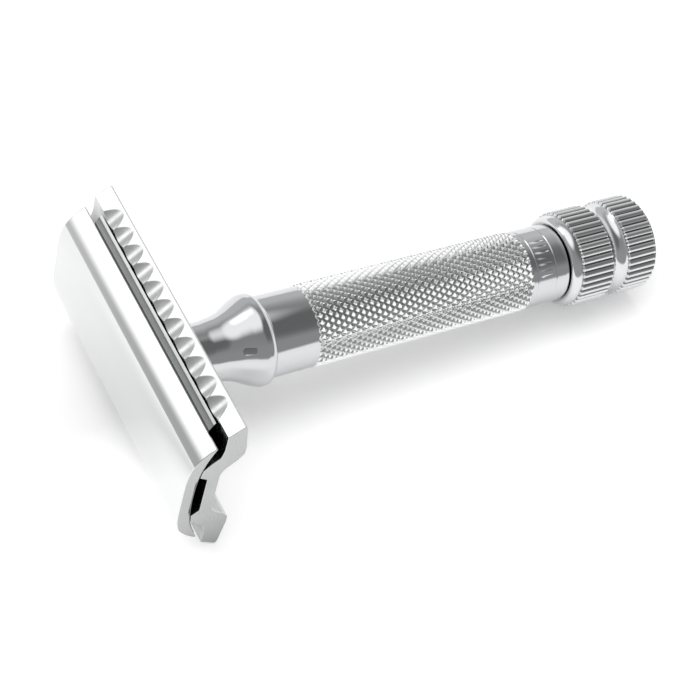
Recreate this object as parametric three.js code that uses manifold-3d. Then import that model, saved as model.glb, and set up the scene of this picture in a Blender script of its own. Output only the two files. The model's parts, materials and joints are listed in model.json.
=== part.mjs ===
// Double-edge safety razor: a clamped cap and blade on a closed-comb head,
// drawn down by a rod that runs through the handle to a turning knob.
// Units are millimetres. Pieces are laid out in the razor's own frame:
// X runs down the handle from the crown of the cap, Y along the head,
// Z across the head. The whole razor is then tipped so that it lies on the
// edge of its lower safety bar and on the rim of its knob.

import * as THREE from 'three';
import { mergeVertices } from 'three/addons/utils/BufferGeometryUtils.js';
import Module from 'manifold-3d';

const wasm = await Module();
wasm.setup();

// ---- Driving dimensions ----

const GAP = 0.06; // clearance between neighbouring solids
const HEAD_LENGTH = 43;

// Blade: a flat strip bent over the head's ridges
const BLADE_THICKNESS = 0.1;
const BLADE_HALF_WIDTH = 11.0; // after bending
const BLADE_CENTRE_X = 1.65;
const BLADE_BEND = 0.0227; // X = centre + bend * Z squared
const BLADE_NOTCH_LENGTH = 2.9;
const BLADE_NOTCH_DEPTH = 2.2;
const BLADE_SLOT_HALF_LENGTH = 16;
const BLADE_SLOT_HALF_WIDTH = 1.3;
const BLADE_HOLE_RADIUS = 3.0;
const BLADE_END_HOLE_RADIUS = 1.95;

// Cap
const CAP_CREASE_X = 0.7; // where the crown meets the steep flank
const CAP_CREASE_Z = 7.1;
const CAP_TIP_X = 3.3;
const CAP_TIP_Z = 9.8;
const FLANK_BULGE = 0.19; // how far the flank stands out from a straight line
const CAP_RECESS_X = 1.5; // floor of the channel under the crown
const CAP_RECESS_HALF_WIDTH = 3.1;
const CROWN_POWER = 4.37;
const STUD_RADIUS = 2.4;
const STUD_END_X = 13.6;
const PIN_RADIUS = 1.5;
const PIN_END_X = 4.8;
const PIN_SPACING = 28;

// Base plate
const PLATE_FRONT_X = 3.1;
const PLATE_BACK_X = 4.87;
const RIDGE_INNER_Z = 4.2;
const RIDGE_OUTER_Z = 5.6;
const BAR_FRONT_X = 4.65;
const BAR_FRONT_Z = 11.7;
const BAR_EDGE_X = 6.82;
const BAR_EDGE_Z = 12.98;
const BAR_BACK_X = 7.83;
const BAR_ROOT_Z = 7.1;
const STUD_HOLE_RADIUS = 2.75;
const PIN_HOLE_RADIUS = 1.75;
const SCALLOP_COUNT = 11;
const SCALLOP_PITCH = 3.32;
const SCALLOP_RADIUS = 3.2;
const SCALLOP_DEPTH = 0.46;

// Neck and handle
const NECK_RADIUS = 4.35;
const NECK_FOOT_RADIUS = 4.6;
const NECK_RIM_RADIUS = 6.6;
const NECK_RIM_X = 20.2;
const NECK_BORE_RADIUS = 3.5;
const SPIGOT_RADIUS = 4.2;
const SPIGOT_END_X = 27;
const TUBE_START_X = 21.3;
const TUBE_END_X = 70.2;
const TUBE_RADIUS = 5.85;
const KNURL_START_X = 27.9;
const KNURL_END_X = 63.8;
const KNURL_RADIUS = 6.0;

// Draw rod
const SOCKET_START_X = 5.4;
const SOCKET_END_X = 17.6;
const SOCKET_RADIUS = 3.25;
const SOCKET_BORE_RADIUS = 2.6;
const SOCKET_BORE_END_X = 14.6;
const ROD_RADIUS = 2.2;
const ROD_SEAT_RADIUS = 1.6;
const ROD_SEAT_X = 15.2;
const ROD_END_X = 81.5;
const BUSH_LENGTH = 5;

// Knob
const KNOB_START_X = 70.4;
const KNOB_END_X = 85.6;
const KNOB_RADIUS = 7.26;
const KNOB_FACE_RADIUS = 6.0;
const KNOB_CHAMFER = 0.4;
const BAND_1_START_X = 71.8;
const BAND_1_END_X = 77.5;
const BAND_2_START_X = 80.2;
const GROOVE_DEPTH = 0.85;
const FLUTE_COUNT = 41;
const FLUTE_DEPTH = 0.28;
const WASHER_RADIUS = 5.0;
const WASHER_THICKNESS = 0.5;
const WAVE_THICKNESS = 0.3;
const WAVE_HEIGHT = 0.25;

const ROUND_SEGMENTS = 48;

// ---- Materials ----

function metal(color, roughness) {
  return new THREE.MeshStandardMaterial({ color, roughness, metalness: 1 });
}

const finishes = {
  chrome: () => metal(0xd9dcdf, 0.06),
  knurledChrome: () => metal(0xc9cccf, 0.2),
  stainless: () => metal(0xb4b7ba, 0.3),
  brass: () => metal(0xb5934f, 0.35),
  steel: () => metal(0x8f9397, 0.35),
};

// ---- Geometry helpers ----

// Turns a closed outline of [x, radius] points about the X axis. The outline
// runs backwards along the outside and returns along the bore.
function turned(outline, segments = ROUND_SEGMENTS) {
  const points = outline.map(([x, radius]) => new THREE.Vector2(radius, x));
  const geometry = new THREE.LatheGeometry(points, segments);
  geometry.rotateZ(-Math.PI / 2);
  return geometry;
}

function ring(startX, endX, innerRadius, outerRadius) {
  return turned([
    [startX, innerRadius],
    [startX, outerRadius],
    [endX, outerRadius],
    [endX, innerRadius],
    [startX, innerRadius],
  ]);
}

function rod(startX, endX, radius, segments = ROUND_SEGMENTS) {
  return turned([[startX, 0], [startX, radius], [endX, radius], [endX, 0]], segments);
}

// Points of an arc in any plane, from one angle to another in degrees.
function arc(centreX, centreY, radius, fromDegrees, toDegrees, steps) {
  const points = [];
  for (let i = 0; i <= steps; i += 1) {
    const angle = THREE.MathUtils.degToRad(fromDegrees + (toDegrees - fromDegrees) * (i / steps));
    points.push([centreX + radius * Math.cos(angle), centreY + radius * Math.sin(angle)]);
  }
  return points;
}

function shapeOf(points) {
  return new THREE.Shape(points.map(([x, y]) => new THREE.Vector2(x, y)));
}

// Extrudes an [x, z] outline along the head.
function alongHead(points, length) {
  const geometry = new THREE.ExtrudeGeometry(shapeOf(points), { depth: length, bevelEnabled: false });
  geometry.translate(0, 0, -length / 2);
  geometry.rotateX(Math.PI / 2);
  return geometry;
}

// Joins a half outline (Z positive, running from the centre line out and back)
// to its mirror image.
function mirrored(half) {
  const other = half.map(([x, z]) => [x, -z]).reverse();
  return half.concat(other.filter(([, z]) => z !== 0));
}

function toManifold(geometry) {
  let indexed = geometry.clone();
  indexed.deleteAttribute('normal');
  indexed.deleteAttribute('uv');
  indexed = mergeVertices(indexed, 1e-4);
  return new wasm.Manifold(
    new wasm.Mesh({
      numProp: 3,
      vertProperties: new Float32Array(indexed.attributes.position.array),
      triVerts: new Uint32Array(indexed.index.array),
    }),
  );
}

function fromManifold(solid) {
  const mesh = solid.getMesh();
  const geometry = new THREE.BufferGeometry();
  geometry.setAttribute('position', new THREE.BufferAttribute(mesh.vertProperties, 3));
  geometry.setIndex(new THREE.BufferAttribute(mesh.triVerts, 1));
  const flat = geometry.toNonIndexed();
  flat.computeVertexNormals();
  return flat;
}

function cut(geometry, cutters) {
  const start = toManifold(geometry);
  return fromManifold(cutters.reduce((solid, cutter) => solid.subtract(toManifold(cutter)), start));
}

function part(name, geometry, finish) {
  const mesh = new THREE.Mesh(geometry, finishes[finish]());
  mesh.name = name;
  return mesh;
}

// ---- Head ----

function bladeX(z) {
  return BLADE_CENTRE_X + BLADE_BEND * z * z;
}

function curveAlongBlade(fromZ, toZ, offset, steps) {
  const points = [];
  for (let i = 0; i <= steps; i += 1) {
    const z = fromZ + ((toZ - fromZ) * i) / steps;
    points.push([bladeX(z) + offset, z]);
  }
  return points;
}

function capGeometry() {
  const under = -BLADE_THICKNESS / 2 - GAP;
  const crown = [];
  const crownSteps = 10;
  for (let i = crownSteps; i >= 0; i -= 1) {
    const z = (CAP_CREASE_Z * i) / crownSteps;
    crown.push([CAP_CREASE_X * (z / CAP_CREASE_Z) ** CROWN_POWER, z]);
  }
  const flankRun = new THREE.Vector2(CAP_TIP_X - CAP_CREASE_X, CAP_TIP_Z - CAP_CREASE_Z);
  const outward = new THREE.Vector2(-flankRun.y, flankRun.x).normalize();
  const flank = [0.75, 0.5, 0.25].map((share) => {
    const bulge = 4 * FLANK_BULGE * share * (1 - share);
    return [
      CAP_CREASE_X + flankRun.x * share + outward.x * bulge,
      CAP_CREASE_Z + flankRun.y * share + outward.y * bulge,
    ];
  });
  const half = [
    [CAP_RECESS_X, 0],
    [CAP_RECESS_X, CAP_RECESS_HALF_WIDTH],
    ...curveAlongBlade(CAP_RECESS_HALF_WIDTH + 0.9, CAP_TIP_Z - 0.05, under, 6),
    [CAP_TIP_X, CAP_TIP_Z],
    ...flank,
    ...crown,
  ];
  const seats = [rod(0.7, 3, STUD_RADIUS + GAP, 48)];
  for (const side of [-1, 1]) {
    const seat = rod(0.7, 3, PIN_RADIUS + GAP, 32);
    seat.translate(0, (side * PIN_SPACING) / 2, 0);
    seats.push(seat);
  }
  return cut(alongHead(mirrored(half), HEAD_LENGTH), seats);
}

function pinGeometry(side) {
  const geometry = turned(
    [[0.76, 0], [0.76, PIN_RADIUS], [PIN_END_X - 0.5, PIN_RADIUS], [PIN_END_X, 1.0], [PIN_END_X, 0]],
    32,
  );
  geometry.translate(0, (side * PIN_SPACING) / 2, 0);
  return geometry;
}

function studGeometry() {
  return turned(
    [
      [0.76, 0],
      [0.76, STUD_RADIUS],
      [STUD_END_X - 0.8, STUD_RADIUS],
      [STUD_END_X, STUD_RADIUS - 0.8],
      [STUD_END_X, 0],
    ],
    48,
  );
}

// The blade's outline seen square on, with its cut corners, its long slot and
// the round openings for the stud and the locating pins.
function bladeOutline() {
  const halfLength = HEAD_LENGTH / 2 - 0.15;
  const shoulder = halfLength - BLADE_NOTCH_LENGTH;
  const tab = BLADE_HALF_WIDTH - BLADE_NOTCH_DEPTH;
  const corner = 0.6;
  const quarter = [
    [shoulder, BLADE_HALF_WIDTH],
    [shoulder, tab + corner],
    ...arc(shoulder + corner, tab + corner, corner, 180, 270, 5).slice(1),
    [halfLength - 1, tab],
    [halfLength, tab - 1],
  ];
  const flipped = quarter.map(([y, z]) => [y, -z]).reverse();
  const right = quarter.concat(flipped);
  const left = right.map(([y, z]) => [-y, -z]);
  return shapeOf(right.concat(left));
}

function bladeGeometry() {
  const half = BLADE_THICKNESS / 2;
  const strip = curveAlongBlade(-BLADE_HALF_WIDTH - 1, BLADE_HALF_WIDTH + 1, -half, 24);
  const back = curveAlongBlade(BLADE_HALF_WIDTH + 1, -BLADE_HALF_WIDTH - 1, half, 24);
  const bent = toManifold(alongHead(strip.concat(back).reverse(), HEAD_LENGTH));

  const stamp = new THREE.ExtrudeGeometry(bladeOutline(), { depth: 10, bevelEnabled: false });
  stamp.applyMatrix4(new THREE.Matrix4().set(0, 0, 1, 0, 1, 0, 0, 0, 0, 1, 0, 0, 0, 0, 0, 1));

  const slot = new THREE.BoxGeometry(20, 2 * BLADE_SLOT_HALF_LENGTH, 2 * BLADE_SLOT_HALF_WIDTH);
  const holes = [slot, rod(-1, 9, BLADE_HOLE_RADIUS, 48)];
  for (const side of [-1, 1]) {
    const hole = rod(-1, 9, BLADE_END_HOLE_RADIUS, 32);
    hole.translate(0, (side * PIN_SPACING) / 2, 0);
    holes.push(hole);
  }
  const outline = bent.intersect(toManifold(stamp));
  return fromManifold(holes.reduce((solid, hole) => solid.subtract(toManifold(hole)), outline));
}

// One scoop of the safety bar: a round cutter that runs out towards the bar's
// outer edge and is deepest at its front corner.
function scallopCutter(y, side) {
  const front = new THREE.Vector3(BAR_FRONT_X, y, BAR_FRONT_Z * side);
  const edge = new THREE.Vector3(BAR_EDGE_X, y, BAR_EDGE_Z * side);
  const facet = edge.clone().sub(front).normalize();
  const outward = new THREE.Vector3(-facet.z * side, 0, facet.x * side);
  const start = front.clone().addScaledVector(outward, SCALLOP_RADIUS - SCALLOP_DEPTH);
  const end = edge.clone().addScaledVector(outward, SCALLOP_RADIUS - 0.02);
  const direction = end.clone().sub(start).normalize();
  const cutter = new THREE.CylinderGeometry(SCALLOP_RADIUS, SCALLOP_RADIUS, 12, 32);
  cutter.applyQuaternion(new THREE.Quaternion().setFromUnitVectors(new THREE.Vector3(0, 1, 0), direction));
  cutter.translate(start.x, start.y, start.z);
  return cutter;
}

function basePlateGeometry() {
  const over = BLADE_THICKNESS / 2 + GAP;
  const half = [
    [PLATE_FRONT_X, 0],
    [PLATE_FRONT_X, RIDGE_INNER_Z - 0.8],
    ...curveAlongBlade(RIDGE_INNER_Z, RIDGE_OUTER_Z, over, 3),
    [3.2, 6.7],
    [4.4, 7.6],
    [BAR_FRONT_X, 8.6],
    [BAR_FRONT_X, BAR_FRONT_Z],
    [BAR_EDGE_X, BAR_EDGE_Z],
    [BAR_EDGE_X + 0.28, BAR_EDGE_Z - 0.12],
    [BAR_EDGE_X + 0.4, BAR_EDGE_Z - 0.5],
    [BAR_BACK_X - 0.1, 8.6],
    [BAR_BACK_X, BAR_ROOT_Z + 0.5],
    [BAR_BACK_X - 0.25, BAR_ROOT_Z - 0.2],
    [7.0, 6.0],
    [5.3, 4.55],
    [PLATE_BACK_X, 3.6],
    [PLATE_BACK_X, 0],
  ];
  const neckSeat = rod(PLATE_BACK_X, 9, NECK_FOOT_RADIUS + GAP);
  const cutters = [rod(1, 9, STUD_HOLE_RADIUS, 48), neckSeat];
  for (const side of [-1, 1]) {
    const hole = rod(1, 9, PIN_HOLE_RADIUS, 32);
    hole.translate(0, (side * PIN_SPACING) / 2, 0);
    cutters.push(hole);
    for (let i = 0; i < SCALLOP_COUNT; i += 1) {
      cutters.push(scallopCutter((i - (SCALLOP_COUNT - 1) / 2) * SCALLOP_PITCH, side));
    }
  }
  return cut(alongHead(mirrored(half).reverse(), HEAD_LENGTH), cutters);
}

// ---- Handle ----

function neckGeometry() {
  const front = PLATE_BACK_X + GAP;
  return turned([
    [front, NECK_BORE_RADIUS],
    [front, NECK_FOOT_RADIUS],
    [front + 1.2, NECK_RADIUS],
    [12.9, NECK_RADIUS],
    [14.6, NECK_RADIUS + 0.1],
    [16, NECK_RADIUS + 0.4],
    [17.2, NECK_RADIUS + 0.95],
    [18.2, NECK_RADIUS + 1.6],
    [19.2, NECK_RIM_RADIUS - 0.2],
    [NECK_RIM_X - 0.4, NECK_RIM_RADIUS],
    [NECK_RIM_X + 0.3, NECK_RIM_RADIUS - 0.05],
    [TUBE_START_X - GAP - 0.3, NECK_RIM_RADIUS - 0.4],
    [TUBE_START_X - GAP, TUBE_RADIUS],
    [TUBE_START_X - GAP, SPIGOT_RADIUS],
    [SPIGOT_END_X, SPIGOT_RADIUS],
    [SPIGOT_END_X, NECK_BORE_RADIUS],
    [front, NECK_BORE_RADIUS],
  ]);
}

function tubeGeometry() {
  const bore = SPIGOT_RADIUS + GAP;
  return turned([
    [TUBE_START_X, bore],
    [TUBE_START_X, TUBE_RADIUS],
    [KNURL_START_X, TUBE_RADIUS],
    [KNURL_START_X + 0.3, KNURL_RADIUS],
    [KNURL_END_X - 0.3, KNURL_RADIUS],
    [KNURL_END_X, TUBE_RADIUS],
    [TUBE_END_X - 0.2, TUBE_RADIUS],
    [TUBE_END_X, TUBE_RADIUS - 0.2],
    [TUBE_END_X, bore],
    [TUBE_START_X, bore],
  ]);
}

function drawRodGeometry() {
  return turned(
    [
      [ROD_SEAT_X, 0],
      [ROD_SEAT_X, ROD_SEAT_RADIUS],
      [SOCKET_END_X + GAP, ROD_SEAT_RADIUS],
      [SOCKET_END_X + GAP, ROD_RADIUS],
      [ROD_END_X, ROD_RADIUS],
      [ROD_END_X, 0],
    ],
    48,
  );
}

// The socket's bore takes the stud, and a narrower one behind it the rod.
function socketGeometry() {
  const seat = ROD_SEAT_RADIUS + GAP;
  return turned(
    [
      [SOCKET_START_X, SOCKET_BORE_RADIUS],
      [SOCKET_START_X, SOCKET_RADIUS],
      [SOCKET_END_X, SOCKET_RADIUS],
      [SOCKET_END_X, seat],
      [SOCKET_BORE_END_X, seat],
      [SOCKET_BORE_END_X, SOCKET_BORE_RADIUS],
      [SOCKET_START_X, SOCKET_BORE_RADIUS],
    ],
    48,
  );
}

// ---- Knob ----

// A turned solid whose radius may change round it. Each station is an x and a
// function from angle to radius, and a station of radius zero is a single
// point on the axis. Stations run backwards along the outside and return
// along the bore; with no point on the axis the last joins up with the first.
function wavyTurning(stations, segments) {
  const positions = [];
  const rows = stations.map(({ x, radius }) => {
    const first = positions.length / 3;
    const onAxis = radius(0) === 0;
    for (let j = 0; j < (onAxis ? 1 : segments); j += 1) {
      const angle = (2 * Math.PI * j) / segments;
      const r = radius(angle);
      positions.push(typeof x === 'function' ? x(angle) : x, r * Math.cos(angle), r * Math.sin(angle));
    }
    return { first, onAxis };
  });
  const at = (row, j) => row.first + (row.onAxis ? 0 : j % segments);
  const indices = [];
  const joins = rows[0].onAxis ? rows.length - 1 : rows.length;
  for (let i = 0; i < joins; i += 1) {
    const row = rows[i];
    const next = rows[(i + 1) % rows.length];
    for (let j = 0; j < segments; j += 1) {
      if (!row.onAxis) {
        indices.push(at(row, j), at(row, j + 1), at(next, j + 1));
      }
      if (!next.onAxis) {
        indices.push(at(row, j), at(next, j + 1), at(next, j));
      }
    }
  }
  const geometry = new THREE.BufferGeometry();
  geometry.setAttribute('position', new THREE.Float32BufferAttribute(positions, 3));
  geometry.setIndex(indices);
  const flat = geometry.toNonIndexed();
  flat.computeVertexNormals();
  return flat;
}

function flutedRadius(angle) {
  const wave = 0.5 - 0.5 * Math.cos(angle * FLUTE_COUNT);
  return KNOB_RADIUS - FLUTE_DEPTH * wave;
}

function knobGeometry() {
  const plain = (x, r) => ({ x, radius: () => r });
  const fluted = (x) => ({ x, radius: flutedRadius });
  const land = KNOB_RADIUS - FLUTE_DEPTH - 0.05;
  const grooveMiddle = (BAND_1_END_X + BAND_2_START_X) / 2;
  const grooveSpan = (BAND_2_START_X - BAND_1_END_X) / 2;
  const recess = WASHER_RADIUS + 0.15;
  const recessDepth = WASHER_THICKNESS + WAVE_THICKNESS + WAVE_HEIGHT;
  const bore = ROD_RADIUS + GAP;
  const groove = arc(0, 0, 1, 200, 340, 6).map(([x, y]) =>
    plain(grooveMiddle + x * grooveSpan, land + y * GROOVE_DEPTH),
  );
  const shoulder = arc(0, 0, 1, 180, 95, 5).map(([x, y]) =>
    plain(
      BAND_1_START_X + x * (BAND_1_START_X - KNOB_START_X),
      KNOB_FACE_RADIUS + y * (land - KNOB_FACE_RADIUS),
    ),
  );
  const stations = [
    plain(ROD_END_X + GAP, 0),
    plain(ROD_END_X + GAP, bore),
    plain(KNOB_START_X + recessDepth, bore),
    plain(KNOB_START_X + recessDepth, recess),
    plain(KNOB_START_X, recess),
    ...shoulder,
    plain(BAND_1_START_X, land),
    fluted(BAND_1_START_X + 0.15),
    fluted(BAND_1_END_X - 0.15),
    plain(BAND_1_END_X, land),
    ...groove,
    plain(BAND_2_START_X, land),
    fluted(BAND_2_START_X + 0.15),
    fluted(KNOB_END_X - KNOB_CHAMFER),
    plain(KNOB_END_X, land - KNOB_CHAMFER),
    plain(KNOB_END_X, 0),
  ];
  return wavyTurning(stations, FLUTE_COUNT * 2);
}

// A spring washer bent into three gentle waves.
function waveWasherGeometry(startX) {
  const lift = (angle) => WAVE_HEIGHT * (0.5 - 0.5 * Math.cos(3 * angle));
  const station = (offset, r) => ({ x: (angle) => startX + offset + lift(angle), radius: () => r });
  return wavyTurning(
    [
      station(0, ROD_RADIUS + 0.3),
      station(0, WASHER_RADIUS - 0.3),
      station(WAVE_THICKNESS, WASHER_RADIUS - 0.3),
      station(WAVE_THICKNESS, ROD_RADIUS + 0.3),
    ],
    72,
  );
}

// ---- Assembly ----

const razor = new THREE.Group();
razor.name = 'razor';

const washerX = TUBE_END_X + GAP;
const bushBore = ROD_RADIUS + GAP;

razor.add(
  part('cap', capGeometry(), 'chrome'),
  part('cap_stud', studGeometry(), 'brass'),
  part('locating_pin_near', pinGeometry(-1), 'chrome'),
  part('locating_pin_far', pinGeometry(1), 'chrome'),
  part('blade', bladeGeometry(), 'stainless'),
  part('base_plate', basePlateGeometry(), 'chrome'),
  part('neck', neckGeometry(), 'chrome'),
  part('handle_tube', tubeGeometry(), 'knurledChrome'),
  part('front_bush', ring(SOCKET_END_X + 0.4, SOCKET_END_X + 0.4 + BUSH_LENGTH, bushBore, NECK_BORE_RADIUS - GAP), 'brass'),
  part('rear_bush', ring(TUBE_END_X - BUSH_LENGTH, TUBE_END_X - 0.1, bushBore, SPIGOT_RADIUS), 'brass'),
  part('draw_rod', drawRodGeometry(), 'steel'),
  part('rod_socket', socketGeometry(), 'brass'),
  part('thrust_washer', ring(washerX, washerX + WASHER_THICKNESS, ROD_RADIUS + 0.2, WASHER_RADIUS), 'brass'),
  part('wave_washer', waveWasherGeometry(washerX + WASHER_THICKNESS + GAP), 'steel'),
  part('knob', knobGeometry(), 'chrome'),
);

// The razor lies on its lower safety bar and on the rim of its knob.
const tilt = Math.atan((BAR_EDGE_Z - KNOB_RADIUS) / (KNOB_END_X - KNOB_CHAMFER - BAR_EDGE_X));
razor.rotation.y = tilt;
razor.updateMatrixWorld(true);
const bounds = new THREE.Box3().setFromObject(razor, true);
const middle = bounds.getCenter(new THREE.Vector3());
razor.position.set(-middle.x, -middle.y, -bounds.min.z);

const root = new THREE.Group();
root.name = 'safety_razor';
root.add(razor);
root.updateMatrixWorld(true);

export default root;
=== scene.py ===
"""Looks for the double-edge safety razor.

The visible pieces are rebuilt here as smooth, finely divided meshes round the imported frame:
cap, blade, scalloped base plate, neck, knurled tube, threaded stud, locating pins and knob.
Lengths are in millimetres in the razor's own frame (X down the handle from the cap's crown,
Y along the head, Z across the head) and are turned into the row frame in one place.
"""

import json
import math

import bpy
from mathutils import Matrix, Vector
from mathutils.geometry import delaunay_2d_cdt


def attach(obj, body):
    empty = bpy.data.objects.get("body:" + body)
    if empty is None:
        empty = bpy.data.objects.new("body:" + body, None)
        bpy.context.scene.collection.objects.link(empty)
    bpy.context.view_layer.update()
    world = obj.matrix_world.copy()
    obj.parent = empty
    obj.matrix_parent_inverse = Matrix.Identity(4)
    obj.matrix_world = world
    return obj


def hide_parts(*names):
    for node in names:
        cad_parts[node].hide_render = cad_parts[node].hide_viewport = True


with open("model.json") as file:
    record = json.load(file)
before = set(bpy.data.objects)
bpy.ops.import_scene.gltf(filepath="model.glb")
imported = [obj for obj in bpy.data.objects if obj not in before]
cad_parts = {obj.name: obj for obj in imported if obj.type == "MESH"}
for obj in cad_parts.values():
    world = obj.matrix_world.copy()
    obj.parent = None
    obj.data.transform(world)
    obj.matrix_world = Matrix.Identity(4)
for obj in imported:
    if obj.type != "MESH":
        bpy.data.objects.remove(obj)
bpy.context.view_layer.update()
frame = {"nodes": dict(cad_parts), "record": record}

MM = 0.001

# ---- The razor's own frame ----

KNOB_PIVOT_X = 78.0  # where the knob joint's point lies, down the handle from the crown

joints = {joint["name"]: joint for joint in frame["record"]["behaviour"]["joints"]}
turn = joints["knob_turn"]
handle_axis = Vector(turn["axis"]).normalized()
head_axis = Vector((0, 1, 0))
across_axis = handle_axis.cross(head_axis)
crown_point = Vector(turn["pos_m"]) - handle_axis * KNOB_PIVOT_X * MM

RAZOR = Matrix((handle_axis, head_axis, across_axis)).transposed().to_4x4()
RAZOR.translation = crown_point


def in_row(point):
    """A point of the razor's frame, in millimetres, as a point of the row frame, in metres."""
    return RAZOR @ (Vector(point) * MM)


def in_razor(point):
    """A point of the row frame, in metres, as a point of the razor's frame, in millimetres."""
    return RAZOR.inverted() @ point / MM


# ---- Sizes, in millimetres ----

# X values are stations down the handle, Z values are distances from its axis across the head.

HEAD_LENGTH = 43.0
EDGE_ROUND = 0.09  # on the ends of the cap and the plate
CLEARANCE = 0.06  # between pieces that touch

BLADE_THICKNESS = 0.1
BLADE_HALF_WIDTH, BLADE_HALF_LENGTH = 11.0, 21.35
BLADE_CENTRE_X = 1.65
BLADE_BEND, BLADE_BEND_POWER = 0.00549, 2.6
BLADE_NOTCH_LENGTH, BLADE_NOTCH_DEPTH = 2.9, 2.2
BLADE_SLOT_HALF_LENGTH, BLADE_SLOT_HALF_WIDTH = 16, 1.3
BLADE_STUD_HOLE_RADIUS, BLADE_PIN_HOLE_RADIUS = 3.0, 1.95
BLADE_GRIND = 0.42  # width of the sharpened bevel

CAP_CREASE_X, CAP_CREASE_Z = 0.7, 7.1
CAP_TIP_X, CAP_TIP_Z = 3.3, 9.8
CAP_LIP_Z = 9.75
CAP_RECESS_X, CAP_RECESS_HALF_WIDTH = 1.5, 3.1
CAP_STATIONS = (-21.3, -20, 0, 20, 21.3)
FLANK_BULGE = 0.19
CROWN_POWER = 4.37

ROOT_X = 0.78  # where the stud and pins start, inside the cap
STUD_RADIUS, STUD_END_X, STUD_CHAMFER = 2.4, 13.6, 0.8
THREAD_PITCH, THREAD_DEPTH, THREAD_START_X = 0.8, 0.42, 5.2
PIN_RADIUS, PIN_END_X, PIN_SPACING = 1.5, 4.8, 28.0

PLATE_FRONT_X, PLATE_BACK_X = 3.1, 4.87
RIDGE_INNER_Z, RIDGE_OUTER_Z = 4.2, 5.6
BAR_INNER_Z, BAR_FRONT_X, BAR_FRONT_Z = 8.9, 4.65, 11.7
BAR_EDGE_X, BAR_EDGE_Z = 6.82, 12.98
BAR_BACK_X, BAR_ROOT_Z = 7.83, 7.1
FACET_SHARE = 0.93  # how far out the bar's flat facet runs before its edge is rounded
SCALLOP_COUNT, SCALLOP_PITCH = 11, 3.32
SCALLOP_RADIUS, SCALLOP_DEPTH, SCALLOP_REACH = 3.2, 0.56, 0.88
STUD_HOLE_RADIUS, PIN_HOLE_RADIUS = 2.75, 1.75

NECK_RADIUS, NECK_FOOT_RADIUS, NECK_RIM_RADIUS = 4.35, 4.6, 6.6
NECK_RIM_X, NECK_BORE_RADIUS = 20.2, 3.5
SPIGOT_RADIUS, SPIGOT_END_X = 4.2, 27.0

TUBE_START_X, TUBE_END_X, TUBE_RADIUS = 21.3, 70.2, 5.85
KNURL_START_X, KNURL_END_X, KNURL_RADIUS = 27.9, 63.8, 6.0
KNURL_STARTS, KNURL_AXIAL_PITCH, KNURL_DEPTH = 34, 1.65, 0.42
KNURL_RUN_OUT = 0.45
KNURL_BLUNTING = 1.15  # above 1 the points lose their very tips
KNURL_CELL_STEPS = 10  # mesh divisions along and round each knurl point
RING_GROOVE_STATIONS, RING_GROOVE_DEPTH = (64.6, 67.9), 0.08
MARK_START_X, MARK_END_X, MARK_DEPTH = 65.5, 67.2, 0.05
MARK_FIRST, MARK_LAST, MARK_SPACING, MARK_WIDTH = 88, 148, 9.0, 1.1  # degrees round the tube

KNOB_START_X, KNOB_END_X, KNOB_RADIUS = 70.4, 85.6, 7.26
KNOB_FACE_RADIUS, KNOB_BORE_END_X, ROD_RADIUS = 6.0, 81.5, 2.2
KNOB_RECESS_RADIUS, KNOB_RECESS_DEPTH = 5.15, 1.05
BAND_1_START_X, BAND_1_END_X, BAND_2_START_X = 71.8, 77.5, 80.2
FLUTE_COUNT, FLUTE_DEPTH, FLUTE_RUN_OUT, FLUTE_ROUNDING = 41, 0.36, 0.22, 0.7
GROOVE_DEPTH = 0.8

ON_AXIS = 0.01  # radius of the tiny ring that closes a turned body on the axis
HOLE_SEGMENTS = 96
SHARP_ANGLE = math.radians(35)  # edges that turn by more than this are shaded as sharp

# ---- Outline helpers ----


def unit_arc(start, end, steps):
    """Points of an arc of radius 1 from one angle to another, in degrees, both ends included."""
    angles = [math.radians(start + (end - start) * i / steps) for i in range(steps + 1)]
    return [(math.cos(a), math.sin(a)) for a in angles]


def filleted(points, steps=6, closed=True):
    """An outline whose corners are rounded: each point is (x, y) or (x, y, radius)."""
    count = len(points)
    out = []
    for i, point in enumerate(points):
        here = Vector(point[:2])
        radius = point[2] if len(point) > 2 else 0.0
        if radius == 0 or (not closed and i in (0, count - 1)):
            out.append(tuple(here))
            continue
        before = Vector(points[i - 1][:2]) - here
        after = Vector(points[(i + 1) % count][:2]) - here
        half = before.angle(after) / 2
        reach = min(radius / math.tan(half), 0.48 * before.length, 0.48 * after.length)
        radius = reach * math.tan(half)
        a, b = before.normalized(), after.normalized()
        centre = here + (a + b).normalized() * (radius / math.sin(half))
        first = here + a * reach - centre
        last = here + b * reach - centre
        sweep = first.angle_signed(last)
        for k in range(steps + 1):
            turned = first.copy()
            turned.rotate(Matrix.Rotation(-sweep * k / steps, 2))
            out.append(tuple(centre + turned))
    return out


def inset(points, distance):
    """The closed anticlockwise outline moved inwards, by less where it turns tightly."""
    count = len(points)
    out = []
    for i in range(count):
        before, here, after = (Vector(points[j % count]) for j in (i - 1, i, i + 1))
        along = after - before
        bend = (after - here).angle_signed(here - before)
        reach = distance if bend <= 0 else min(distance, 0.35 * along.length / bend)
        step = along / along.length * reach
        out.append((here.x - step.y, here.y + step.x))
    return out


# ---- Mesh helpers ----


def piece(name, vertices, faces):
    """A new mesh object from points of the razor's frame."""
    mesh = bpy.data.meshes.new(name)
    mesh.from_pydata([in_row(v) for v in vertices], [], faces)
    mesh.validate()
    mesh.update()
    mesh.shade_smooth()
    mesh.set_sharp_from_angle(angle=SHARP_ANGLE)
    obj = bpy.data.objects.new(name, mesh)
    bpy.context.scene.collection.objects.link(obj)
    return obj


def settle(obj, body, stands_for):
    """Makes a piece ride on a CAD body in place of some of its nodes."""
    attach(obj, body)
    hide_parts(*stands_for)


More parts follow.
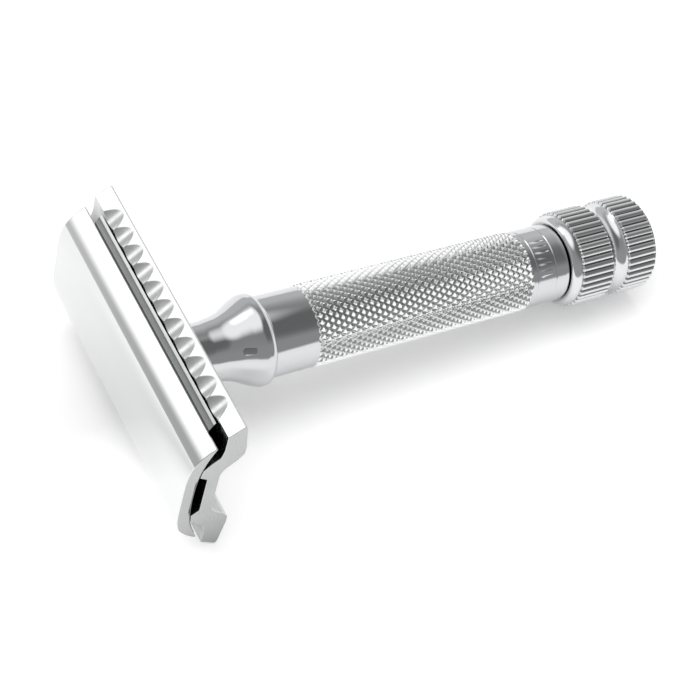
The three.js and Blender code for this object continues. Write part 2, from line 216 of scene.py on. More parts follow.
def filled(outline):
    """Triangles over a flat closed outline, as indices into its points."""
    points = [Vector(p) for p in outline]
    edges = [(i, (i + 1) % len(points)) for i in range(len(points))]
    result = delaunay_2d_cdt(points, edges, [], 1, 1e-7)
    origin = result[3]
    return [tuple(origin[i][0] for i in triangle) for triangle in result[2]]


def rings_to_mesh(rings, join_ends=False, flat_ends=True):
    """Vertices and faces of a skin over rings of equal length, with flat, open or joined ends."""
    count = len(rings[0])
    vertices = [v for ring in rings for v in ring]
    faces = []
    pairs = len(rings) if join_ends else len(rings) - 1
    for i in range(pairs):
        a, b = i * count, ((i + 1) % len(rings)) * count
        for j in range(count):
            k = (j + 1) % count
            faces.append((a + j, b + j, b + k, a + k))
    if flat_ends and not join_ends:
        faces.append(tuple(range(count)))
        faces.append(tuple(reversed(range((len(rings) - 1) * count, len(rings) * count))))
    return vertices, faces


def ring_of(radius, segments, y=0.0):
    """The (y, z) points of a circle round the line at y, parallel to the handle's axis."""
    angles = [2 * math.pi * j / segments for j in range(segments)]
    return [(y + radius * math.cos(a), radius * math.sin(a)) for a in angles]


def along_head(name, outline_at, stations):
    """A prism along the head with rounded end edges. outline_at(y) gives its (x, z) outline."""
    half = HEAD_LENGTH / 2
    steps = 4
    rings = []
    near_levels = [(-half, EDGE_ROUND + 0.02)]
    for i in range(steps + 1):
        angle = math.pi / 2 * i / steps
        depth = EDGE_ROUND * (1 - math.sin(angle))
        near_levels.append((-half + EDGE_ROUND * (1 - math.cos(angle)), depth))
    inner = [(y, 0.0) for y in stations if abs(y) < half - EDGE_ROUND - 0.01]
    far_levels = [(-y, depth) for y, depth in reversed(near_levels)]
    for y, depth in near_levels + inner + far_levels:
        outline = outline_at(y)
        if depth > 0:
            outline = inset(outline, depth)
        rings.append([(x, y, z) for x, z in outline])
    vertices, faces = rings_to_mesh(rings, flat_ends=False)
    last_ring = (len(rings) - 1) * len(rings[0])
    near_end = filled(outline_at(-half))
    far_end = filled(outline_at(half))
    faces += near_end
    faces += [tuple(last_ring + i for i in reversed(triangle)) for triangle in far_end]
    return piece(name, vertices, faces)


def turned(name, outline, segments, radius_at=None, closed=False):
    """A body turned about the handle's axis from an (x, radius) outline.

    radius_at(x, radius, angle) may change the radius round the axis. An open outline
    starts and ends on the axis; a closed one has a bore.
    """
    rings = []
    for x, radius in outline:
        ring = []
        for j in range(segments):
            angle = 2 * math.pi * j / segments
            r = radius_at(x, radius, angle) if radius_at else radius
            ring.append((x, r * math.cos(angle), r * math.sin(angle)))
        rings.append(ring)
    return piece(name, *rings_to_mesh(rings, join_ends=closed))


def cut_with(obj, cutter):
    """Subtracts the cutter from obj and removes it."""
    modifier = obj.modifiers.new("cut", "BOOLEAN")
    modifier.operation = "DIFFERENCE"
    modifier.solver = "EXACT"
    modifier.object = cutter
    bpy.context.view_layer.update()
    graph = bpy.context.evaluated_depsgraph_get()
    mesh = bpy.data.meshes.new_from_object(obj.evaluated_get(graph))
    obj.modifiers.clear()
    obj.data = mesh
    mesh.shade_smooth()
    mesh.set_sharp_from_angle(angle=SHARP_ANGLE)
    bpy.data.objects.remove(cutter)


def cutter_through(outline, start_x, end_x):
    """A cutter along the handle's axis from a (y, z) outline."""
    rings = [[(x, y, z) for y, z in outline] for x in (start_x, end_x)]
    return piece("cutter", *rings_to_mesh(rings))


def smooth_step(value, low, high):
    """0 below low, 1 above high and a smooth rise between them."""
    t = min(1.0, max(0.0, (value - low) / (high - low)))
    return t * t * (3 - 2 * t)


# ---- Materials ----

GRAIN_SCALE, GRAIN_HEIGHT = 900.0, 2e-6  # noise cells for each metre, and their relief in metres


class Nodes:
    """A small writer for one material's node tree."""

    def __init__(self, name):
        self.material = bpy.data.materials.new(name)
        self.material.use_nodes = True
        self.tree = self.material.node_tree
        self.shader = self.tree.nodes["Principled BSDF"]
        self.position = self.add("ShaderNodeTexCoord").outputs["Object"]

    def add(self, kind, **settings):
        node = self.tree.nodes.new(kind)
        for key, value in settings.items():
            setattr(node, key, value)
        return node

    def link(self, source, target):
        self.tree.links.new(source, target)

    def noise(self, scale, detail=3.0, stretch=(1, 1, 1)):
        mapping = self.add("ShaderNodeMapping")
        mapping.inputs["Scale"].default_value = stretch
        self.link(self.position, mapping.inputs["Vector"])
        noise = self.add("ShaderNodeTexNoise")
        noise.inputs["Scale"].default_value = scale
        noise.inputs["Detail"].default_value = detail
        self.link(mapping.outputs["Vector"], noise.inputs["Vector"])
        return noise.outputs["Fac"]

    def ramp(self, value, low, high, from_low=0.35, from_high=0.65):
        ranged = self.add("ShaderNodeMapRange")
        ranged.inputs["From Min"].default_value = from_low
        ranged.inputs["From Max"].default_value = from_high
        ranged.inputs["To Min"].default_value = low
        ranged.inputs["To Max"].default_value = high
        self.link(value, ranged.inputs["Value"])
        return ranged.outputs["Result"]

    def colours(self, value, low, high):
        mix = self.add("ShaderNodeMix", data_type="RGBA")
        mix.inputs["A"].default_value = (*low, 1)
        mix.inputs["B"].default_value = (*high, 1)
        self.link(value, mix.inputs["Factor"])
        return mix.outputs["Result"]

    def bump(self, height, strength, distance):
        bump = self.add("ShaderNodeBump")
        bump.inputs["Strength"].default_value = strength
        bump.inputs["Distance"].default_value = distance
        self.link(height, bump.inputs["Height"])
        self.link(bump.outputs["Normal"], self.shader.inputs["Normal"])


def metal(name, low, high, rough, stretch=(1, 1, 1), bump=0.0, shade=0.0, reach=0.008):
    """A metal whose tint and roughness drift a little between two values each.

    stretch makes the fine grain into brush marks, bump gives it relief, and shade paints shade
    into the colour of hollows and faces within reach, in metres, of other surfaces, down to 1 -
    shade.
    """
    nodes = Nodes(name)
    nodes.shader.inputs["Metallic"].default_value = 1.0
    drift = nodes.noise(GRAIN_SCALE * 0.12)
    fine = nodes.noise(GRAIN_SCALE, detail=5.0, stretch=stretch)
    tint = nodes.colours(drift, low, high)
    if shade:
        # Painted shade: ambient occlusion darkens the base colour in hollows and near the floor.
        painted_shade = nodes.add("ShaderNodeAmbientOcclusion", samples=8)
        painted_shade.inputs["Distance"].default_value = reach
        nodes.link(tint, painted_shade.inputs["Color"])
        fade = nodes.add("ShaderNodeMix", data_type="RGBA")
        fade.inputs["Factor"].default_value = shade
        nodes.link(tint, fade.inputs["A"])
        nodes.link(painted_shade.outputs["Color"], fade.inputs["B"])
        tint = fade.outputs["Result"]
    nodes.link(tint, nodes.shader.inputs["Base Color"])
    nodes.link(nodes.ramp(fine, *rough), nodes.shader.inputs["Roughness"])
    if bump:
        nodes.bump(fine, bump, GRAIN_HEIGHT)
    return nodes.material


def paint(obj, *materials):
    """Gives obj these materials. All its faces use the first."""
    obj.data.materials.clear()
    for material in materials:
        obj.data.materials.append(material)


polished = metal(
    "polished_chrome",
    low=(0.53, 0.538, 0.545),
    high=(0.57, 0.578, 0.585),
    rough=(0.02, 0.05),
)
# The shade settings below paint shade into the chrome's hollows and where the head nears the floor.
head_chrome = metal(
    "head_chrome",
    low=(0.655, 0.66, 0.66),
    high=(0.685, 0.69, 0.69),
    rough=(0.04, 0.08),
    shade=0.6,
)
plate_chrome = metal(
    "plate_chrome",
    low=(0.53, 0.535, 0.535),
    high=(0.63, 0.635, 0.635),
    rough=(0.16, 0.28),
    bump=0.08,
    shade=0.6,
)
# The brushed ends are also tinted darker than the head, as painted shade.
brushed_and_shaded_chrome = metal(
    "brushed_and_shaded_chrome",
    low=(0.38, 0.384, 0.386),
    high=(0.47, 0.474, 0.476),
    rough=(0.2, 0.32),
    stretch=(1, 1, 0.15),
    bump=0.12,
    shade=0.6,
)
# Painted shade darkens the valleys between the knurl's points and, below, the knob's flutes.
knurl_chrome = metal(
    "knurl_chrome",
    low=(0.74, 0.745, 0.75),
    high=(0.79, 0.795, 0.80),
    rough=(0.05, 0.1),
    shade=0.9,
    reach=0.0004,
)
knob_chrome = metal(
    "knob_chrome",
    low=(0.60, 0.608, 0.615),
    high=(0.65, 0.658, 0.665),
    rough=(0.03, 0.07),
    shade=0.8,
    reach=0.0006,
)
# The blade's sheet is tinted dark as painted shade.
blade_steel = metal(
    "blade_steel",
    low=(0.20, 0.205, 0.205),
    high=(0.26, 0.265, 0.265),
    rough=(0.16, 0.26),
    stretch=(1, 0.05, 1),
)
# The ground bevel is real; its light tint is a painted highlight.
lit_ground_steel = metal(
    "lit_ground_steel",
    low=(0.78, 0.785, 0.79),
    high=(0.84, 0.845, 0.85),
    rough=(0.2, 0.35),
    stretch=(1, 0.05, 1),
)
turned_brass = metal(
    "turned_brass",
    low=(0.60, 0.44, 0.20),
    high=(0.72, 0.56, 0.28),
    rough=(0.2, 0.38),
    bump=0.1,
)
rod_steel = metal(
    "rod_steel",
    low=(0.42, 0.43, 0.45),
    high=(0.52, 0.53, 0.55),
    rough=(0.25, 0.42),
    stretch=(0.05, 1, 1),
    bump=0.1,
)

# ---- Cap ----


def blade_x(z):
    """Where the middle of the bent blade lies at z."""
    return BLADE_CENTRE_X + BLADE_BEND * abs(z) ** BLADE_BEND_POWER


def mirrored(half):
    """A half outline, centre line first, joined to its mirror image across z = 0."""
    other = [(p[0], -p[1], *p[2:]) for p in reversed(half)]
    return half + [p for p in other if p[1] != 0]


def cap_outline():
    """The cap's section: recess, seat on the blade, lip, steep flank and domed crown."""
    under = -BLADE_THICKNESS / 2 - CLEARANCE
    crown_steps = 26
    crown = []
    for i in range(crown_steps, -1, -1):
        z = (CAP_CREASE_Z - 0.12) * i / crown_steps
        crown.append((CAP_CREASE_X * (z / CAP_CREASE_Z) ** CROWN_POWER, z))
    seat_steps = 14
    seat_start = CAP_RECESS_HALF_WIDTH + 0.9
    seat = []
    for i in range(seat_steps):
        z = seat_start + (CAP_LIP_Z - seat_start) * i / seat_steps
        seat.append((blade_x(z) + under, z))
    crease, tip = Vector((CAP_CREASE_X, CAP_CREASE_Z)), Vector((CAP_TIP_X, CAP_TIP_Z))
    run = tip - crease
    outward = Vector((-run.y, run.x)).normalized()
    flank = []
    flank_steps = 20
    for i in range(flank_steps - 1, 0, -1):
        share = i / flank_steps
        flank.append(tuple(crease + run * share + outward * 4 * FLANK_BULGE * share * (1 - share)))
    half = [(CAP_RECESS_X, 0), (CAP_RECESS_X, CAP_RECESS_HALF_WIDTH, 0.15)]
    half += seat + [(blade_x(CAP_LIP_Z) + under, CAP_LIP_Z, 0.08), (*tip, 0.12)]
    half += flank + [(*crease, 0.3)] + crown
    return filleted(mirrored(half), steps=5)


cap_line = cap_outline()
cap_shell = along_head("cap_shell", lambda y: cap_line, CAP_STATIONS)
settle(cap_shell, "cap", ["cap"])


def paint_head_piece(part, material):
    """The flat ends of the head are brushed, not polished like the rest of the piece, and tinted
    darker as painted shade.
    """
    paint(part, material, brushed_and_shaded_chrome)
    end_y = (HEAD_LENGTH / 2 - 0.3) * MM
    for polygon in part.data.polygons:
        polygon.material_index = int(abs(polygon.normal.y) > 0.98 and abs(polygon.center.y) > end_y)


paint_head_piece(cap_shell, head_chrome)

# ---- Threaded stud and locating pins ----


def thread_radius(x, radius, angle):
    """The stud's 60 degree thread, fading in behind the cap and out at the tip."""
    phase = (x / THREAD_PITCH - angle / (2 * math.pi)) % 1.0
    tooth = abs(2 * phase - 1)
    depth = THREAD_DEPTH * (1 - min(1.0, max(0.0, (tooth - 0.12) / 0.76)))
    fade = smooth_step(x, THREAD_START_X, THREAD_START_X + 0.9)
    return radius - depth * fade


stud_steps = 190
stud_line = [(ROOT_X, ON_AXIS), (ROOT_X, STUD_RADIUS)]
for step in range(stud_steps + 1):
    x = 2.0 + (STUD_END_X - 2.0) * step / stud_steps
    chamfer = max(0.0, x - (STUD_END_X - STUD_CHAMFER))
    stud_line.append((x, STUD_RADIUS - chamfer))
stud_line.append((STUD_END_X, ON_AXIS))
stud = turned("threaded_stud", stud_line, 72, thread_radius)
settle(stud, "cap", ["cap_stud"])
paint(stud, turned_brass)

pin_line = filleted(
    [(ROOT_X, ON_AXIS), (ROOT_X, PIN_RADIUS), (PIN_END_X, PIN_RADIUS, 0.5), (PIN_END_X, ON_AXIS)],
    closed=False,
)
for side, node in ((-1, "locating_pin_near"), (1, "locating_pin_far")):
    pin_y = side * PIN_SPACING / 2
    rings = [[(x, y, z) for y, z in ring_of(radius, 64, pin_y)] for x, radius in pin_line]
    pin = piece(f"{node}_post", *rings_to_mesh(rings))
    settle(pin, "cap", [node])
    paint(pin, plate_chrome)

# ---- Blade ----


def blade_sheet():
    """The bent strip, thinned to a sharp edge at both long sides."""
    steps = 120
    half = BLADE_THICKNESS / 2
    top, bottom = [], []
    for i in range(steps + 1):
        z = -BLADE_HALF_WIDTH + 2 * BLADE_HALF_WIDTH * i / steps
        thin = min(1.0, (BLADE_HALF_WIDTH - abs(z)) / BLADE_GRIND + 0.04)
        slope = BLADE_BEND_POWER * BLADE_BEND * abs(z) ** (BLADE_BEND_POWER - 1)
        slope = math.copysign(slope, z)
        length = math.hypot(1, slope)
        nx, nz = 1 / length, -slope / length
        top.append((blade_x(z) - half * thin * nx, z - half * thin * nz))
        bottom.append((blade_x(z) + half * thin * nx, z + half * thin * nz))
    return bottom + top[::-1]


def notch_outline(side_y, side_z):
    """The (y, z) corner that is cut away to leave the blade's end tab, anticlockwise."""
    shoulder = BLADE_HALF_LENGTH - BLADE_NOTCH_LENGTH
    tab = BLADE_HALF_WIDTH - BLADE_NOTCH_DEPTH
    outer_y, outer_z = shoulder + 9, tab + 9
    corner = filleted(
        [(shoulder, tab, 0.6), (outer_y, tab), (outer_y, outer_z), (shoulder, outer_z)],
        steps=10,
    )
    outline = [(side_y * y, side_z * z) for y, z in corner]
    return list(reversed(outline)) if side_y * side_z > 0 else outline


sheet = blade_sheet()
rings = [[(x, y, z) for x, z in sheet] for y in (-BLADE_HALF_LENGTH, BLADE_HALF_LENGTH)]
blade = piece("blade_strip", *rings_to_mesh(rings))
openings = [notch_outline(side_y, side_z) for side_y in (-1, 1) for side_z in (-1, 1)]
slot_corners = [(-1, -1), (1, -1), (1, 1), (-1, 1)]
slot = [(i * BLADE_SLOT_HALF_LENGTH, j * BLADE_SLOT_HALF_WIDTH, 1.2) for i, j in slot_corners]
openings.append(list(reversed(filleted(slot, steps=8))))
openings.append(ring_of(BLADE_STUD_HOLE_RADIUS, HOLE_SEGMENTS))
for side in (-1, 1):
    openings.append(ring_of(BLADE_PIN_HOLE_RADIUS, HOLE_SEGMENTS, side * PIN_SPACING / 2))
for opening in openings:
    cut_with(blade, cutter_through(opening, -2, 9))
settle(blade, "blade", ["blade"])
# The sheet takes the painted-shade steel, the ground bevel the painted-highlight steel.
paint(blade, blade_steel, lit_ground_steel)
for polygon in blade.data.polygons:
    local = in_razor(polygon.center)
    polygon.material_index = int(abs(local.z) > BLADE_HALF_WIDTH - BLADE_GRIND)

# ---- Base plate ----

scallop_centres = [(i - (SCALLOP_COUNT - 1) / 2) * SCALLOP_PITCH for i in range(SCALLOP_COUNT)]
facet = Vector((BAR_EDGE_X - BAR_FRONT_X, BAR_EDGE_Z - BAR_FRONT_Z))
facet_rise = facet.normalized().x  # share of a cut square to the facet that shows along Z


def scallop_drop(y, t):
    """How far the scoops lower the bar's facet at y, t of the way out from its front corner."""
    offset = min(abs(y - centre) for centre in scallop_centres)
    if offset >= SCALLOP_RADIUS:
        return 0.0
    floor = SCALLOP_RADIUS - SCALLOP_DEPTH * (1 - t / SCALLOP_REACH)
    return max(0.0, math.sqrt(SCALLOP_RADIUS**2 - offset**2) - floor) / facet_rise


def plate_outline(y):
    """The plate's section: ridge under the blade, valley, scalloped bar and the arched back."""
    over = BLADE_THICKNESS / 2 + CLEARANCE
    ridge = []
    for i in range(7):
        z = RIDGE_INNER_Z + (RIDGE_OUTER_Z - RIDGE_INNER_Z) * i / 6
        ridge.append((blade_x(z) + over, z))
    corner_z = BAR_FRONT_Z - scallop_drop(y, 0)
    front = [(BAR_FRONT_X, BAR_INNER_Z + (corner_z - BAR_INNER_Z) * i / 8) for i in range(9)]
    facet_steps = 22
    top = []
    for i in range(1, facet_steps + 1):
        t = i / facet_steps * FACET_SHARE
        z = BAR_FRONT_Z + (BAR_EDGE_Z - BAR_FRONT_Z) * t - scallop_drop(y, t)
        top.append((BAR_FRONT_X + (BAR_EDGE_X - BAR_FRONT_X) * t, z))
    half = [(PLATE_FRONT_X, 0), (PLATE_FRONT_X, RIDGE_INNER_Z - 0.8, 0.2)]
    valley = [(3.2, 6.7, 0.4), (4.4, 7.6, 0.5)]  # between the ridge and the bar, under the blade
    edge = [
        (BAR_EDGE_X + 0.16, BAR_EDGE_Z + 0.04, 0.4),
        (BAR_EDGE_X + 0.42, BAR_EDGE_Z - 0.55, 0.7),
    ]
    back = [
        (BAR_BACK_X - 0.02, 8.3, 1.0),
        (BAR_BACK_X - 0.05, BAR_ROOT_Z - 0.1, 0.6),
        (7.0, 6.0, 0.9),  # the arch from the bar to the middle of the plate starts here
        (5.3, 4.55, 1.2),
        (PLATE_BACK_X, 3.6, 0.8),
        (PLATE_BACK_X, 0),
    ]
    half += ridge + valley + front + top + edge + back
    return list(reversed(filleted(mirrored(half), steps=5)))


station_step = SCALLOP_PITCH / 30
plate_stations = [i * station_step for i in range(-195, 196)]
plate = along_head("base_plate_casting", plate_outline, plate_stations)
holes = [ring_of(STUD_HOLE_RADIUS, HOLE_SEGMENTS)]
for side in (-1, 1):
    holes.append(ring_of(PIN_HOLE_RADIUS, HOLE_SEGMENTS, side * PIN_SPACING / 2))
for hole in holes:
    cut_with(plate, cutter_through(hole, 1, 9))
settle(plate, "handle", ["base_plate"])
paint_head_piece(plate, plate_chrome)

# ---- Neck ----

neck_line = filleted(
    [
        (PLATE_BACK_X + 0.02, NECK_BORE_RADIUS),
        (PLATE_BACK_X + 0.02, NECK_FOOT_RADIUS),
        (PLATE_BACK_X + 1.2, NECK_RADIUS, 1.5),
        (12.9, NECK_RADIUS, 6),  # from here the neck flares like a trumpet
        (15.9, NECK_RADIUS + 0.32, 6),
        (18.4, NECK_RADIUS + 1.7, 4),
        (19.6, NECK_RIM_RADIUS - 0.02, 1.6),
        (NECK_RIM_X + 0.35, NECK_RIM_RADIUS, 0.6),
        (TUBE_START_X - 0.1, NECK_RIM_RADIUS - 0.35, 0.5),
        (TUBE_START_X - 0.1, SPIGOT_RADIUS),
        (SPIGOT_END_X, SPIGOT_RADIUS),
        (SPIGOT_END_X, NECK_BORE_RADIUS),
    ],
    steps=8,
)
neck = turned("flared_neck", neck_line, 256, closed=True)
settle(neck, "handle", ["neck"])
paint(neck, polished)

# ---- Handle tube ----


def knurl_height(x, angle):
    """Crossed spiral grooves leave rows of four-sided points."""
    helix = x / KNURL_AXIAL_PITCH
    turn_share = KNURL_STARTS * angle / (2 * math.pi)
    valleys = [abs(2 * ((helix + sign * turn_share) % 1.0) - 1) for sign in (-1, 1)]
    return min(1.0, KNURL_BLUNTING * (1 - max(valleys)))


def in_mark(x, angle):
    """Whether a point lies in one of the short plain strokes on the rear smooth section."""
    degrees = math.degrees(angle)
    in_row_of_marks = MARK_START_X < x < MARK_END_X and MARK_FIRST < degrees < MARK_LAST
    return in_row_of_marks and degrees % MARK_SPACING < MARK_WIDTH


def tube_radius(x, radius, angle):
    if in_mark(x, angle):
        return radius - MARK_DEPTH
    fade = smooth_step(x, KNURL_START_X, KNURL_START_X + KNURL_RUN_OUT)
    fade *= 1 - smooth_step(x, KNURL_END_X - KNURL_RUN_OUT, KNURL_END_X)
    if radius < TUBE_RADIUS - 0.01 or fade == 0:
        return radius
    crest = (KNURL_RADIUS - TUBE_RADIUS) * fade
    return radius + crest - KNURL_DEPTH * fade * (1 - knurl_height(x, angle))


bore = SPIGOT_RADIUS + CLEARANCE
tube_line = filleted(
    [
        (TUBE_START_X, bore),
        (TUBE_START_X, TUBE_RADIUS, 0.12),
        (KNURL_START_X - 0.12, TUBE_RADIUS),
        (KNURL_START_X, TUBE_RADIUS),
    ],
    closed=False,
)
knurl_length = KNURL_END_X - KNURL_START_X
knurl_rows = round(knurl_length / (KNURL_AXIAL_PITCH / KNURL_CELL_STEPS))
for row in range(1, knurl_rows + 1):
    tube_line.append((KNURL_START_X + knurl_length * row / knurl_rows, TUBE_RADIUS))
tube_line.append((KNURL_END_X + 0.12, TUBE_RADIUS))
mark_edges = [MARK_START_X, MARK_START_X + 0.05, MARK_END_X - 0.05, MARK_END_X]
for ring_x in RING_GROOVE_STATIONS:
    if ring_x > MARK_END_X:
        tube_line += [(x, TUBE_RADIUS) for x in mark_edges]
    tube_line += [
        (ring_x - 0.1, TUBE_RADIUS),
        (ring_x, TUBE_RADIUS - RING_GROOVE_DEPTH),
        (ring_x + 0.1, TUBE_RADIUS),
    ]
tube_line += filleted(
    [(TUBE_END_X - 0.9, TUBE_RADIUS), (TUBE_END_X, TUBE_RADIUS, 0.15), (TUBE_END_X, bore)],
    closed=False,
)
tube_segments = KNURL_STARTS * KNURL_CELL_STEPS
tube = turned("knurled_tube", tube_line, tube_segments, tube_radius, closed=True)
settle(tube, "handle", ["handle_tube"])
paint(tube, polished, knurl_chrome)
for polygon in tube.data.polygons:
    local = in_razor(polygon.center)
    polygon.material_index = int(KNURL_START_X + 0.1 < local.x < KNURL_END_X - 0.1)

# ---- Knob ----


def knob_radius(x, radius, angle):
    """Rounded ribs with narrow flutes between them, on the two bands only."""
    in_band = (BAND_1_START_X < x < BAND_1_END_X) or (BAND_2_START_X < x < KNOB_END_X - 0.2)
    if not in_band or radius < KNOB_RADIUS - 1.0:
        return radius
    wave = abs(math.sin(angle * FLUTE_COUNT / 2)) ** FLUTE_ROUNDING
    return radius - FLUTE_DEPTH * (1 - wave)


land = KNOB_RADIUS - FLUTE_DEPTH - 0.02
groove_middle = (BAND_1_END_X + BAND_2_START_X) / 2
groove_half = (BAND_2_START_X - BAND_1_END_X) / 2
rod_bore = ROD_RADIUS + CLEARANCE
knob_line = [
    (KNOB_BORE_END_X + CLEARANCE, ON_AXIS),
    (KNOB_BORE_END_X + CLEARANCE, rod_bore),
    (KNOB_START_X + KNOB_RECESS_DEPTH, rod_bore),
    (KNOB_START_X + KNOB_RECESS_DEPTH, KNOB_RECESS_RADIUS),
    (KNOB_START_X, KNOB_RECESS_RADIUS),
]
shoulder_length = BAND_1_START_X - KNOB_START_X
shoulder_rise = land - KNOB_FACE_RADIUS
for x, y in unit_arc(178, 92, 14):
    knob_line.append((BAND_1_START_X + x * shoulder_length, KNOB_FACE_RADIUS + y * shoulder_rise))


def band(start, end):
    """A fluted band with short sloping run-outs."""
    return [
        (start, land),
        (start + 0.01, land + FLUTE_DEPTH * 0.2),
        (start + FLUTE_RUN_OUT, KNOB_RADIUS),
        (end - FLUTE_RUN_OUT, KNOB_RADIUS),
        (end - 0.01, land + FLUTE_DEPTH * 0.2),
        (end, land),
    ]


knob_line += band(BAND_1_START_X, BAND_1_END_X)
for x, y in unit_arc(195, 345, 20):
    knob_line.append((groove_middle + x * groove_half * 0.96, land + 0.1 + y * GROOVE_DEPTH))
knob_line += band(BAND_2_START_X, KNOB_END_X - 0.25)
knob_line += filleted(
    [(KNOB_END_X - 0.2, land), (KNOB_END_X, land - 0.3, 0.2), (KNOB_END_X, ON_AXIS)],
    closed=False,
)
knob = turned("fluted_knob", knob_line, FLUTE_COUNT * 12, knob_radius)
settle(knob, "knob", ["knob"])
paint(knob, knob_chrome)

# ---- Pieces carried over from the frame ----

for node, material in (
    ("front_bush", turned_brass),
    ("rear_bush", turned_brass),
    ("thrust_washer", turned_brass),
    ("rod_socket", turned_brass),
    ("draw_rod", rod_steel),
    ("wave_washer", rod_steel),
):
    paint(frame["nodes"][node], material)

# ---- Camera ----

CAMERA_TARGET = Vector((-0.00651, -0.00149, 0.00411))
CAMERA_DISTANCE = 0.26
CAMERA_AZIMUTH, CAMERA_ELEVATION = -37.92, 51.12  # degrees; azimuth 0 looks along +Y
CAMERA_ROLL = 13.46
FOCAL_LENGTH = 92.57  # on a 36 mm sensor

camera_data = bpy.data.cameras.new("camera")
camera_data.sensor_width = 36
camera_data.lens = FOCAL_LENGTH
camera = bpy.data.objects.new("camera", camera_data)
camera.rotation_mode = "XYZ"
bpy.context.scene.collection.objects.link(camera)
swing = Matrix.Rotation(math.radians(CAMERA_AZIMUTH), 4, "Z")
lift = Matrix.Rotation(math.radians(90 - CAMERA_ELEVATION), 4, "X")
spin = Matrix.Rotation(math.radians(CAMERA_ROLL), 4, "Z")
back_off = Matrix.Translation((0, 0, CAMERA_DISTANCE))
camera.matrix_world = Matrix.Translation(CAMERA_TARGET) @ swing @ lift @ spin @ back_off
camera_data.clip_start = 0.01
bpy.context.scene.camera = camera

# ---- Light ----


def soft_light(name, azimuth, elevation, distance, width, height, power):
    """A rectangular light aimed at the razor. Azimuth 0 puts it on the -Y side, 90 on the +X side.

    It only lights the floor: the chrome reflects the studio's walls and roof instead.
    """
    data = bpy.data.lights.new(name, "AREA")
    data.shape = "RECTANGLE"
    data.size, data.size_y = width, height
    data.energy = power
    light = bpy.data.objects.new(name, data)
    bpy.context.scene.collection.objects.link(light)
    around = Matrix.Rotation(math.radians(azimuth), 4, "Z")
    up = Matrix.Rotation(math.radians(90 - elevation), 4, "X")
    light.matrix_world = around @ up @ Matrix.Translation((0, 0, distance))
    light.visible_glossy = False


soft_light("overhead_fill", 195, 70, 1.3, 1.3, 1.3, 4.2)
soft_light("side_fill", 227, 38, 1.0, 0.9, 0.9, 2.0)

# What the chrome reflects: a studio with a darker wall on its -Y side, a lighter one opposite,
# a roof, and a pale sweep where the walls meet the table
SKY_NEAR_SIDE, SKY_FAR_SIDE, SKY_OVERHEAD = 0.42, 0.74, 0.36
SWEEP_BRIGHTNESS, SWEEP_TOP = 0.5, 0.08

# Soft round patches: direction, cosine at the rim, cosine where it is full, strength.
# The panel over the cap's flank is also cut off on both sides, between these Y values.
PANEL = ((-0.52, 0.62, 0.58), 0.87, 0.985, 1.2)
PANEL_NEAR_SIDE, PANEL_FAR_SIDE = (0.33, 0.5), (0.61, 0.73)
OTHER_PATCHES = (
    ((-0.2, 0.25, 0.95), 0.76, 0.96, 1.1),  # overhead panel
    ((1.0, 0.15, 0.1), 0.6, 0.95, 0.45),  # pale wall beyond the knob
    ((0.5, -0.3, 0.8), 0.8, 0.97, -0.16),  # gap beside the overhead panel
    ((-0.93, 0.33, 0.15), 0.945, 0.985, -0.2),  # shade beside the panel
)

world = bpy.data.worlds.new("studio")
bpy.context.scene.world = world
world.use_nodes = True
tree = world.node_tree


def studio_ramp(value, from_low, from_high, to_low, to_high):
    """A smooth step of the studio's brightness."""
    ramp = tree.nodes.new("ShaderNodeMapRange")
    ramp.interpolation_type = "SMOOTHSTEP"
    ramp.inputs["From Min"].default_value = from_low
    ramp.inputs["From Max"].default_value = from_high
    ramp.inputs["To Min"].default_value = to_low
    ramp.inputs["To Max"].default_value = to_high
    tree.links.new(value, ramp.inputs["Value"])
    return ramp.outputs["Result"]


def combined(operation, first, second):
    node = tree.nodes.new("ShaderNodeMath")
    node.operation = operation
    tree.links.new(first, node.inputs[0])
    tree.links.new(second, node.inputs[1])
    return node.outputs["Value"]


def patch(aim, rim, full, strength):
    """A soft round patch: nothing beyond the rim's cosine, full strength inside the other."""
    towards = tree.nodes.new("ShaderNodeVectorMath")
    towards.operation = "DOT_PRODUCT"
    towards.inputs[1].default_value = Vector(aim).normalized()
    tree.links.new(direction, towards.inputs[0])
    return studio_ramp(towards.outputs["Value"], rim, full, 0.0, strength)


direction = tree.nodes.new("ShaderNodeTexCoord").outputs["Generated"]
split = tree.nodes.new("ShaderNodeSeparateXYZ")
tree.links.new(direction, split.inputs["Vector"])
walls = studio_ramp(split.outputs["Y"], -0.4, 0.4, SKY_NEAR_SIDE, SKY_FAR_SIDE)
roof = studio_ramp(split.outputs["Z"], 0.35, 0.85, 0.0, 1.0)
sky = tree.nodes.new("ShaderNodeMix")
tree.links.new(roof, sky.inputs["Factor"])
tree.links.new(walls, sky.inputs["A"])
sky.inputs["B"].default_value = SKY_OVERHEAD
sweep = studio_ramp(split.outputs["Z"], 0.0, SWEEP_TOP, SWEEP_BRIGHTNESS, 0.0)
panel_sides = combined(
    "MULTIPLY",
    studio_ramp(split.outputs["Y"], *PANEL_NEAR_SIDE, 0.0, 1.0),
    studio_ramp(split.outputs["Y"], *PANEL_FAR_SIDE, 1.0, 0.0),
)
panel = combined("MULTIPLY", patch(*PANEL), panel_sides)
brightness = combined("ADD", sky.outputs["Result"], sweep)
brightness = combined("ADD", brightness, panel)
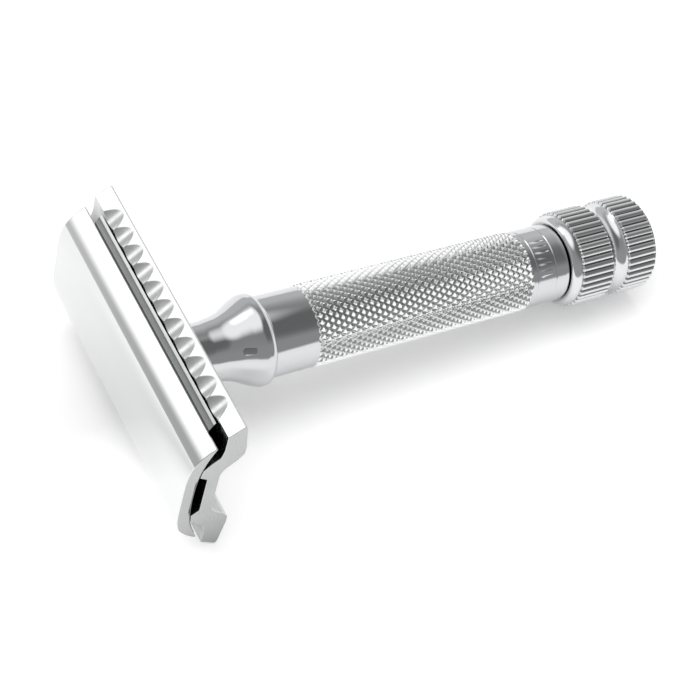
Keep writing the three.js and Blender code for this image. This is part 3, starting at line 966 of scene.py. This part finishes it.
for aim, rim, full, strength in OTHER_PATCHES:
    brightness = combined("ADD", brightness, patch(aim, rim, full, strength))
tree.links.new(brightness, tree.nodes["Background"].inputs["Color"])

bpy.context.scene.view_settings.view_transform = "Standard"

# ---- Floor ----

FLOOR_HALF_SIZE = 3.0

# The pale table glows, as painted light, most on the near side and least beside the handle, so
# that the shadow stays close to the razor. The bounds are Y values in metres.
LEAST_GLOW, NEAR_GLOW, FAR_GLOW = 0.13, 0.52, 0.28
NEAR_GLOW_BOUNDS, FAR_GLOW_BOUNDS = (-0.01, 0.002), (0.006, 0.035)

corners = [(-1, -1), (1, -1), (1, 1), (-1, 1)]
floor_points = [(x * FLOOR_HALF_SIZE, y * FLOOR_HALF_SIZE, 0) for x, y in corners]
floor_mesh = bpy.data.meshes.new("floor")
floor_mesh.from_pydata(floor_points, [], [(0, 1, 2, 3)])
floor = bpy.data.objects.new("floor", floor_mesh)
bpy.context.scene.collection.objects.link(floor)
floor_nodes = Nodes("pale_floor")
floor_nodes.shader.inputs["Roughness"].default_value = 0.9
floor_nodes.shader.inputs["Specular IOR Level"].default_value = 0.1
floor_tint = floor_nodes.colours(floor_nodes.noise(3.0), (0.88, 0.88, 0.88), (0.9, 0.9, 0.9))
floor_nodes.link(floor_tint, floor_nodes.shader.inputs["Base Color"])
# The floor's tint also colours its glow, which is painted light.
floor_nodes.link(floor_tint, floor_nodes.shader.inputs["Emission Color"])
across = floor_nodes.add("ShaderNodeSeparateXYZ")
floor_nodes.link(floor_nodes.position, across.inputs[0])
near_glow = floor_nodes.ramp(across.outputs["Y"], NEAR_GLOW, LEAST_GLOW, *NEAR_GLOW_BOUNDS)
far_glow = floor_nodes.ramp(across.outputs["Y"], 0.0, FAR_GLOW, *FAR_GLOW_BOUNDS)
glow = floor_nodes.add("ShaderNodeMath", operation="ADD")
floor_nodes.link(near_glow, glow.inputs[0])
floor_nodes.link(far_glow, glow.inputs[1])
floor_nodes.link(glow.outputs[0], floor_nodes.shader.inputs["Emission Strength"])
floor_mesh.materials.append(floor_nodes.material)
